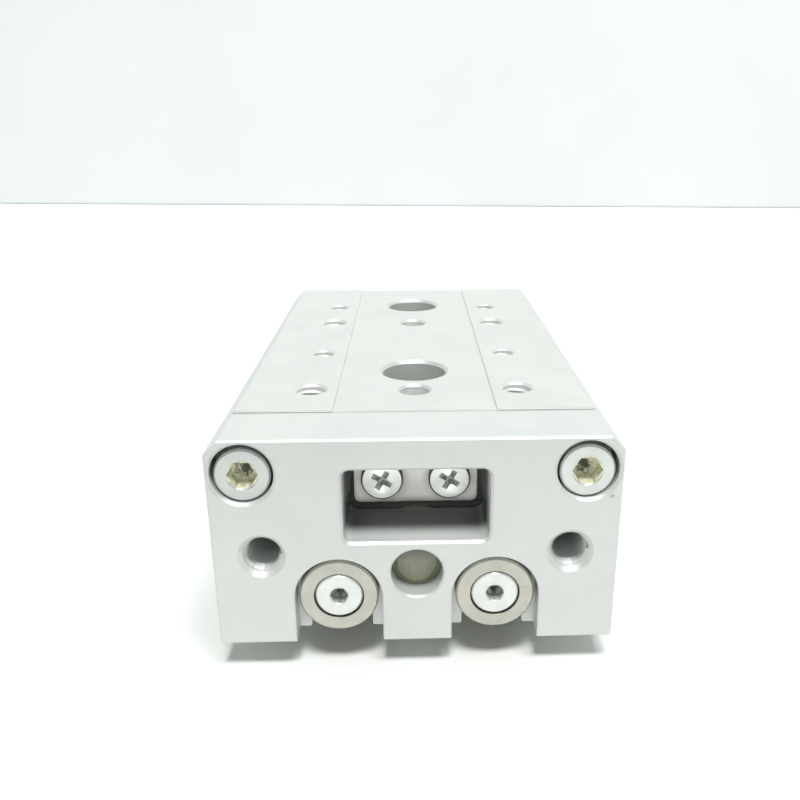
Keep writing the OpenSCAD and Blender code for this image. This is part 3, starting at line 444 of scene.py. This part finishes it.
def tableTones():
    # painted light down in the key holes in the middle and in the tapped holes, and the front edge is dark
    # along the joint
    rows = sorted({round(place.y, 5) for place in holePlaces("table_work_holes")})
    half = tapShade["key"] * millimetre
    boxes = [((-half, row - half, channelTop), (half, row + half, tableHigh.z - 0.9 * millimetre),
              crisp, tapShade["keyShare"], paintedHoleLight) for row in rows]
    half = tapShade["table"] * millimetre
    for place in holePlaces("table_work_holes") + holePlaces("table_small_holes"):
        boxes.append(((place.x - half, place.y - half, tableHigh.z - 6 * millimetre),
                      (place.x + half, place.y + half, tableHigh.z - 0.1 * millimetre),
                      crisp, tapShade["tableShare"], paintedHoleLight))
    rear = plateHigh.y + jointShade["rear"] * millimetre
    boxes.append(((tableLow.x - millimetre, plateHigh.y - millimetre, tableHigh.z - 0.9 * millimetre),
                  (tableHigh.x + millimetre, rear, tableHigh.z + millimetre),
                  crisp, jointShade["table"], paintedShadeAndJointDark))
    return boxes


def bodyTones():
    half, low, high = (bodyShade[name] * millimetre for name in ("half", "low", "high"))
    return [((-half, bodyLow.y - millimetre, low), (half, bodyLow.y + millimetre, high),
             crisp, bodyShade["share"], paintedShadeAndJointDark)]


# span, wing and core are the recess; socket is the radius that takes its darker colour, painted shade down in
# the recess
stopScrew = dict(head=7.0, height=1.3, crown=0.1, edge=0.26, shoulder=0.9, shank=2.9, length=6.0,
                 span=3.9, wing=1.0, core=1.7, depth=1.1, taper=0.4, lift=0.1, turn=60, socket=2.2, rim=3.22)
stopScrewMiddle = middle("guide_stop_screws")
stopScrewSide = (stopScrewHigh.x - stopScrewLow.x - stopScrew["head"] * millimetre) / 2
# the middle of the four screws, how far each is to the side, the front heads' top and the sockets' radius
stopScrewPlaces = (stopScrewMiddle, stopScrewSide, stopScrewLow.y, stopScrew["socket"])

materials = {
    "plateAlloy": blastedAlloy("plateAlloy", shade(228, 231, 228), shade(222, 225, 223), 0.4, specks=0.5,
                               toned=plateTones()),
    "tableAlloy": blastedAlloy("tableAlloy", shade(228, 231, 228), shade(221, 225, 222), 0.4, specks=0.2,
                               lines=0.16, toned=tableTones()),
    "bodyAlloy": blastedAlloy("bodyAlloy", shade(222, 225, 223), shade(208, 212, 210), 0.6, lines=0.5,
                              toned=bodyTones()),
    "nickelRing": turnedMetal("nickelRing", shade(208, 206, 196), shade(192, 191, 182), onRodAxis,
                              pair=rodMiddle.x),
    # the stop plates are one plated steel in two copies: the front one painted lighter and less metallic as the
    # lit copy, the rear one the shaded copy
    "platedSteel": groundMetal("platedSteel", shade(216, 214, 209), shade(208, 206, 201), run=(60, 1, 1),
                               rough=(0.32, 0.45), metal=0.2, cornerShadeReach=1.5),
    "platedSteelRearShaded": groundMetal("platedSteelRearShaded", shade(206, 205, 201), shade(196, 195, 191),
                                   run=(60, 1, 1), rough=(0.32, 0.45), metal=0.5, cornerShadeReach=1.5),
    # a faint painted glow in the light colour lifts the rails and the block out of their shade
    "groundSteel": groundMetal("groundSteel", shade(204, 206, 204), shade(186, 189, 188), rough=(0.28, 0.34),
                               metal=0.9, glow=0.03),
    "rollerSteel": groundMetal("rollerSteel", shade(225, 228, 228), shade(190, 194, 195), rough=(0.12, 0.2)),
    "chromeRod": groundMetal("chromeRod", shade(232, 234, 236), shade(214, 217, 220), run=(1, 1, 1),
                             rough=(0.08, 0.16), depth=0.001),
    "capAlloy": turnedMetal("capAlloy", shade(150, 152, 154), shade(120, 123, 126), rodMiddle, metal=0.7),
    "pistonAlloy": turnedMetal("pistonAlloy", shade(222, 222, 218), shade(204, 204, 200), rodMiddle),
    "blackSteel": turnedMetal("blackSteel", shade(58, 58, 60), shade(34, 34, 36), metal=0.6, rough=(0.35, 0.5)),
    "springSteel": groundMetal("springSteel", shade(98, 98, 102), shade(66, 66, 70), run=(1, 1, 1)),
    "bearingBronze": bronze("bearingBronze", shade(206, 172, 112), shade(150, 118, 68), 0.8),
    "cageBrass": bronze("cageBrass", shade(222, 190, 110), shade(188, 152, 78), 0.15),
    # painted shade on the left-hand head, and a faint painted glow in the sockets
    "plateScrewZinc": zincScrews("plateScrewZinc", (shade(64, 66, 38), shade(240, 239, 212)), plateScrewMiddle,
                                 (plateScrewHigh.x - plateScrewLow.x) / 2 - headHalf, plateScrewLow.y, 2.3,
                                 metal=0.85, light=shade(232, 237, 234), socketGlow=0.03, leftPaintedShade=0.14),
    "rodScrewZinc": zincScrews("rodScrewZinc", (shade(52, 56, 54), shade(190, 196, 192)), onRodAxis,
                               rodMiddle.x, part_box("rod_end_screws")[0].y, 1.45, metal=0.6,
                               light=shade(246, 250, 247)),
    # the stop screws are one zinc in two copies: the front ones painted lighter and less metallic as the lit
    # copy, the rear ones the shaded copy with darker recesses
    "stopScrewZinc": zincScrews("stopScrewZinc", (shade(132, 144, 134), shade(190, 200, 190)),
                                *stopScrewPlaces, metal=0.3, light=shade(246, 250, 246),
                                rim=stopScrew["rim"], bothEnds=True),
    "stopScrewZincRearShaded": zincScrews("stopScrewZincRearShaded", (shade(96, 106, 98), shade(170, 180, 172)),
                                    *stopScrewPlaces, metal=0.6, light=shade(232, 237, 234),
                                    rim=stopScrew["rim"], bothEnds=True),
    "sealRubber": rubber("sealRubber", shade(46, 46, 48)),
    "magnetRubber": rubber("magnetRubber", shade(88, 84, 84), rough=0.45),
    "bumperUrethane": urethane("bumperUrethane", middle("plate_bumper")),
    "ringUrethane": urethane("ringUrethane"),
    "wearResin": rubber("wearResin", shade(140, 104, 72), rough=0.4),
}
wearing = {
    "plateAlloy": ["end_plate"],
    "tableAlloy": ["table"],
    "bodyAlloy": ["body"],
    "nickelRing": ["floating_bush_left", "floating_bush_right"],
    "platedSteel": ["guide_stop_front"],
    "platedSteelRearShaded": ["guide_stop_rear"],
    "groundSteel": ["guide_block", "rail_left", "rail_right"],
    "rollerSteel": ["rollers_left", "rollers_right"],
    "chromeRod": ["piston_rod_left", "piston_rod_right"],
    "capAlloy": ["rod_gland_left", "rod_gland_right", "head_cap_left", "head_cap_right"],
    "pistonAlloy": ["piston_left", "piston_right"],
    "blackSteel": ["guide_block_screws", "rail_screws", "piston_screws", "preload_screws", "rail_stop_screws",
                   "port_plugs"],
    "springSteel": ["gland_clip_left", "gland_clip_right", "cap_clip_left", "cap_clip_right"],
    "bearingBronze": ["thrust_washer_left", "thrust_washer_right"],
    "cageBrass": ["roller_cage_left", "roller_cage_right"],
    "plateScrewZinc": ["plate_screws"],
    "rodScrewZinc": ["rod_end_screws"],
    "stopScrewZinc": ["guide_stop_screws"],
    "sealRubber": ["rod_seal_left", "rod_seal_right", "gland_ring_left", "gland_ring_right", "cap_ring_left",
                   "cap_ring_right", "piston_seal_left", "piston_seal_right"],
    "magnetRubber": ["piston_magnet_left", "piston_magnet_right"],
    "bumperUrethane": ["plate_bumper"],
    "ringUrethane": ["stop_ring_left", "stop_ring_right"],
    "wearResin": ["wear_ring_left", "wear_ring_right"],
}
for materialName, wearers in wearing.items():
    for node in wearers:
        for slot in nodes[node].material_slots:
            slot.material = materials[materialName]
missing = sorted(set(nodes) - {node for wearers in wearing.values() for node in wearers})
print("materials given:", len(materials), "nodes without one:", missing)


faceUp, faceDown, faceFront, faceRight = (0, 0, 0), (math.pi, 0, 0), (math.pi / 2, 0, 0), (0, math.pi / 2, 0)
faceRear = (-math.pi / 2, 0, 0)


def pickFaces(piece, test):
    # selects the faces whose middle and normal pass the test, and leaves the piece in edit mode
    makeActive(piece)
    bpy.ops.object.mode_set(mode="EDIT")
    bpy.ops.mesh.select_mode(type="FACE")
    bpy.ops.mesh.select_all(action="DESELECT")
    bpy.ops.object.mode_set(mode="OBJECT")
    for face in piece.data.polygons:
        face.select = test(face.center, face.normal)
    bpy.ops.object.mode_set(mode="EDIT")


def pickTopMiddle(piece):
    # the one upward face round the axis
    pickFaces(piece, lambda centre, normal: normal.z > 0.9 and Vector(centre[:2]).length < 0.1 * millimetre)


def cutRecess(screw, sides, width, run, turn):
    # takes a tapered pocket out of the head's top: a wing of the cross, or its round middle
    size = {name: value * millimetre for name, value in stopScrew.items()}
    high = size["depth"] + size["lift"]
    place = (0, 0, size["lift"] - high / 2)
    deselectAll()
    if sides == 4:
        bpy.ops.mesh.primitive_cube_add(size=1, location=place, rotation=(0, 0, math.radians(turn)))
    else:
        bpy.ops.mesh.primitive_cylinder_add(vertices=sides, radius=0.5, depth=1, location=place)
    pocket = nameNew("pocket")
    pocket.scale = Vector((run * millimetre, width * millimetre, high))
    setOrigin(pocket)
    pickFaces(pocket, lambda centre, normal: normal.z < -0.9)
    bpy.ops.transform.resize(value=(stopScrew["taper"],) * 2 + (1,), center_override=(0, 0, 0))
    deselectAll()
    cut = screw.modifiers.new("Pocket", "BOOLEAN")
    cut.operation = "DIFFERENCE"
    cut.solver = "EXACT"
    cut.object = pocket
    applyModifiers(screw)
    bpy.data.objects.remove(pocket)


def crossScrew():
    # a flat round head with an eased edge and a slight crown, its top at z = 0
    size = {name: value * millimetre for name, value in stopScrew.items()}
    wall = size["height"] - size["crown"]
    deselectAll()
    bpy.ops.mesh.primitive_cylinder_add(vertices=72, radius=size["head"] / 2, depth=wall,
                                        location=(0, 0, -size["crown"] - wall / 2))
    screw = nameNew("crossScrew")
    setOrigin(screw)
    pickFaces(screw, lambda centre, normal: normal.z < -0.9)
    bpy.ops.mesh.inset(thickness=(size["head"] - size["shank"]) / 2)
    bpy.ops.mesh.extrude_region_move(TRANSFORM_OT_translate={"value": (0, 0, -size["length"])})
    pickFaces(screw, lambda centre, normal: normal.z > 0.9)
    bpy.ops.mesh.bevel(offset=size["edge"], segments=3, affect="EDGES")
    pickTopMiddle(screw)
    bpy.ops.mesh.inset(thickness=size["shoulder"])
    bpy.ops.transform.translate(value=(0, 0, size["crown"]))
    deselectAll()
    for sides, width, run, turn in ((4, stopScrew["wing"], stopScrew["span"], stopScrew["turn"]),
                                    (4, stopScrew["wing"], stopScrew["span"], stopScrew["turn"] + 90),
                                    (12, stopScrew["core"], stopScrew["core"], 0)):
        cutRecess(screw, sides, width, run, turn)
    makeActive(screw)
    bpy.ops.object.shade_smooth_by_angle(angle=math.radians(30))
    return screw


screw = crossScrew()
for name, side, y, turn in (("front_left", -1, stopScrewLow.y, faceFront),
                            ("front_right", 1, stopScrewLow.y, faceFront),
                            ("rear_left", -1, stopScrewHigh.y, faceRear),
                            ("rear_right", 1, stopScrewHigh.y, faceRear)):
    place = Vector((stopScrewMiddle.x + side * stopScrewSide, y, stopScrewMiddle.z))
    piece = placeCopy(screw, "cross_screw_" + name, place, turn)
    wear(piece, materials["stopScrewZinc" if turn == faceFront else "stopScrewZincRearShaded"])
    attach(piece, "cylinder")
    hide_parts("guide_stop_screws")
bpy.data.objects.remove(screw)
print("cross screws made")


def bumper():
    # a soft plug with a wide head behind the plate and a low round nose deep in the bore
    size = {name: value * millimetre for name, value in softBumper.items()}
    thick = plateHigh.y - plateLow.y
    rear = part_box("plate_bumper")[1].y - plateLow.y
    deselectAll()
    bpy.ops.mesh.primitive_cylinder_add(vertices=96, radius=size["head"], depth=rear - thick,
                                        location=(0, 0, -(rear + thick) / 2))
    plug = nameNew("softBumper")
    setOrigin(plug)
    pickFaces(plug, lambda centre, normal: normal.z > 0.9)
    bpy.ops.mesh.inset(thickness=size["head"] - size["stem"])
    bpy.ops.mesh.extrude_region_move(TRANSFORM_OT_translate={"value": (0, 0, thick - size["front"])})
    bpy.ops.mesh.bevel(offset=size["ease"], segments=3, affect="EDGES")
    pickTopMiddle(plug)
    bpy.ops.mesh.inset(thickness=size["stem"] - size["ease"] - size["nose"])
    bpy.ops.mesh.extrude_region_move(TRANSFORM_OT_translate={"value": (0, 0, size["rise"])})
    bpy.ops.mesh.bevel(offset=size["round"], segments=5, affect="EDGES")
    pickTopMiddle(plug)
    bpy.ops.mesh.inset(thickness=size["inset"])
    bpy.ops.transform.translate(value=(0, 0, size["crown"]))
    makeActive(plug)
    bpy.ops.object.shade_smooth_by_angle(angle=math.radians(35))
    return plug


plug = bumper()
bumperMiddle = middle("plate_bumper")
piece = placeCopy(plug, "soft_bumper", Vector((bumperMiddle.x, plateLow.y, bumperMiddle.z)), faceFront)
wear(piece, materials["bumperUrethane"])
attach(piece, "slide")
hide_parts("plate_bumper")
bpy.data.objects.remove(plug)
print("bumper made")


threads = dict(bite=0.04, stepsPerTurn=24, width=0.44)  # width is a share of the pitch


def threadRidge(name, hole, minor, pitch, depth):
    # the ridge of an inside thread, wound down from a mouth at z = 0
    wall, crest, half = hole / 2 + threads["bite"], minor / 2, pitch * threads["width"]
    turns = int(depth / pitch)
    deselectAll()
    bpy.ops.mesh.primitive_circle_add(vertices=3, radius=half * millimetre, location=(0, 0, 0))
    ridge = nameNew(name)
    # the triangle is stood up: its flat side is in the wall and its tip is the crest
    corners = ((wall, half), (wall, -half), (crest, 0.0))
    for vertex, (out, up) in zip(ridge.data.vertices, corners):
        vertex.co = Vector((out, 0, up - pitch * turns - half)) * millimetre
    screw = ridge.modifiers.new("Wind", "SCREW")
    screw.axis = "Z"
    screw.screw_offset = pitch * millimetre
    screw.iterations = turns
    screw.steps = threads["stepsPerTurn"]
    screw.render_steps = threads["stepsPerTurn"]
    screw.use_smooth_shade = False
    applyModifiers(ridge)
    bpy.ops.object.mode_set(mode="EDIT")
    bpy.ops.mesh.select_all(action="SELECT")
    bpy.ops.mesh.remove_doubles(threshold=1e-7)
    bpy.ops.mesh.fill_holes(sides=4)
    bpy.ops.mesh.select_all(action="SELECT")
    bpy.ops.mesh.normals_make_consistent(inside=False)
    bpy.ops.object.mode_set(mode="OBJECT")
    return ridge


tappedHoles = {
    "table_work_holes": dict(hole=5.0, minor=4.3, pitch=0.8, depth=5.2, mouth=0.4, turn=faceUp),
    "table_small_holes": dict(hole=4.0, minor=3.4, pitch=0.7, depth=4.7, mouth=0.3, turn=faceUp),
    "plate_face_holes": dict(hole=6.0, minor=5.1, pitch=1.0, depth=9.8, mouth=0.7, turn=faceFront),
    "foot_tapped_holes": dict(hole=5.0, minor=4.3, pitch=0.8, depth=6.4, mouth=0.4, turn=faceDown),
    "air_port_extend": dict(hole=5.0, minor=4.3, pitch=0.8, depth=4.5, mouth=0.4, turn=faceRight),
    "air_port_retract": dict(hole=5.0, minor=4.3, pitch=0.8, depth=4.5, mouth=0.4, turn=faceRight),
}
# for the first part of a hole's name: the moving body, the finish and the record's slot
cutIn = {
    "table": ("slide", "tableAlloy", "table_alloy"),
    "plate": ("slide", "plateAlloy", "plate_alloy"),
    "foot": ("cylinder", "bodyAlloy", "body_alloy"),
    "air": ("cylinder", "bodyAlloy", "body_alloy"),
}
for mountName, size in tappedHoles.items():
    part = mountName.split("_")[0]
    ridge = threadRidge("ridge", size["hole"], size["minor"], size["pitch"], size["depth"] - size["mouth"])
    for count, place in enumerate(holePlaces(mountName)):
        inward = -Vector(mounts[mountName]["axis"])
        mouth = place.copy()
        if part == "table":
            mouth.z = tableHigh.z
        elif part == "plate":
            mouth.y = plateLow.y
        elif part == "air":
            mouth.x = bodyHigh.x
        mouth += inward * size["mouth"] * millimetre
        thread = placeCopy(ridge, f"thread_{mountName}_{count + 1}", mouth, size["turn"])
        wear(thread, materials[cutIn[part][1]])
        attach(thread, cutIn[part][0])
    bpy.data.objects.remove(ridge)
print("threads cut")


stageSizes = dict(floorWidth=3.0, floorFront=-1.6, floorRear=1.0, wall=0.627, wallHeight=1.6, wallTurn=-4.2,
                  thick=0.01, ease=0.002)


def stagePanel(name, low, high, material, turn=0.0):
    # a thin slab with eased edges, turned about the upright axis by so many degrees
    deselectAll()
    centre = (Vector(low) + Vector(high)) / 2
    bpy.ops.mesh.primitive_cube_add(size=1, location=centre, rotation=(0, 0, math.radians(turn)))
    panel = nameNew(name)
    panel.scale = Vector(high) - Vector(low)
    setOrigin(panel)
    ease = panel.modifiers.new("Ease", "BEVEL")
    ease.width = stageSizes["ease"]
    ease.segments = 2
    applyModifiers(panel)
    panel.data.materials.append(material)
    return panel


def paper(name, light, dark, glow=0.0):
    finish = Finish(name)
    cloud = finish.noise(160, detail=3)
    finish.plain(Specular_IOR_Level=0.2, Emission_Color=light, Emission_Strength=glow)
    colour = finish.blend(cloud, dark, light, 0.3, 0.7)
    return finish.finish(colour, 0.7, finish.noise(1.2, detail=3), 0.01, edge=0)


half = stageSizes["floorWidth"] / 2
stagePanel("floor", (-half, stageSizes["floorFront"], -stageSizes["thick"]),
           (half, stageSizes["floorRear"], 0), paper("floorPaper", shade(247, 249, 247), shade(244, 246, 244)))
stagePanel("wall", (-half, stageSizes["wall"], 0),
           (half, stageSizes["wall"] + stageSizes["thick"], stageSizes["wallHeight"]),
           paper("wallPaper", shade(241, 245, 243), shade(236, 240, 238), glow=0.07), stageSizes["wallTurn"])


lights = {
    "overhead": dict(toLight=(0.0, -0.38, 1.0), distance=4.0, size=0.8, power=91, colour=(1.0, 1.0, 0.99)),
    "right": dict(toLight=(0.26, -0.3, 1.0), distance=4.0, size=1.0, power=49, colour=(1.0, 1.0, 1.0)),
}
aim = Vector((0, plateLow.y, 0))
for lightName, values in lights.items():
    deselectAll()
    towards = Vector(values["toLight"]).normalized()
    bpy.ops.object.light_add(type="AREA", location=aim + towards * values["distance"])
    lamp = bpy.context.object
    lamp.name = lightName + "Lamp"
    lamp.data.shape = "DISK"
    lamp.data.size = values["size"]
    lamp.data.energy = values["power"]
    lamp.data.color = values["colour"]
    lamp.rotation_euler = towards.to_track_quat("Z", "Y").to_euler()

# a narrow, nearly level beam through the window onto the stop plate,
# which clears the end plate's own face at both ends of the stroke
beam = dict(across=20.6, tall=8.6, away=150, lift=4.7, rise=1.5, spread=1.0, power=0.0003)
deselectAll()
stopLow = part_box("guide_stop_front")[0]
beamAim = Vector((0, stopLow.y, stopLow.z + beam["lift"] * millimetre))
beamRise = math.radians(beam["rise"])
towards = Vector((0, -math.cos(beamRise), math.sin(beamRise)))
bpy.ops.object.light_add(type="AREA", location=beamAim + towards * beam["away"] * millimetre)
lamp = bpy.context.object
lamp.name = "windowLamp"
lamp.data.shape = "RECTANGLE"
lamp.data.size = beam["across"] * millimetre
lamp.data.size_y = beam["tall"] * millimetre
lamp.data.spread = math.radians(beam["spread"])
lamp.data.energy = beam["power"]
lamp.visible_camera = False
lamp.rotation_euler = towards.to_track_quat("Z", "Y").to_euler()

room = dict(colour=(0.985, 1.0, 0.985, 1), strength=0.22)
world = bpy.data.worlds.new("room")
bpy.context.scene.world = world
world.use_nodes = True
background = world.node_tree.nodes["Background"]
background.inputs["Color"].default_value = room["colour"]
background.inputs["Strength"].default_value = room["strength"]
bpy.context.scene.view_settings.view_transform = "Standard"


view = dict(sideways=-0.735, inFront=107.04, height=84.62, turn=0.03792, dip=0.33506, roll=0.00174, lens=35.697,
            shift=(-0.0485, -0.0126), sensor=36, near=0.005)
deselectAll()
bpy.ops.object.camera_add()
camera = bpy.context.object
camera.name = "camera"
ahead = Vector((math.sin(view["turn"]) * math.cos(view["dip"]), math.cos(view["turn"]) * math.cos(view["dip"]),
                -math.sin(view["dip"])))
level = Vector((math.cos(view["turn"]), -math.sin(view["turn"]), 0))
upward = level.cross(ahead)
right = level * math.cos(view["roll"]) + upward * math.sin(view["roll"])
top = upward * math.cos(view["roll"]) - level * math.sin(view["roll"])
place = Vector((view["sideways"] * millimetre, plateLow.y - view["inFront"] * millimetre,
                view["height"] * millimetre))
turned = Matrix((right, top, -ahead)).transposed().to_4x4()
camera.matrix_world = Matrix.Translation(place) @ turned
camera.data.lens = view["lens"]
camera.data.sensor_width = view["sensor"]
camera.data.shift_x, camera.data.shift_y = view["shift"]
camera.data.clip_start = view["near"]
bpy.context.scene.camera = camera
print("lights and camera set")
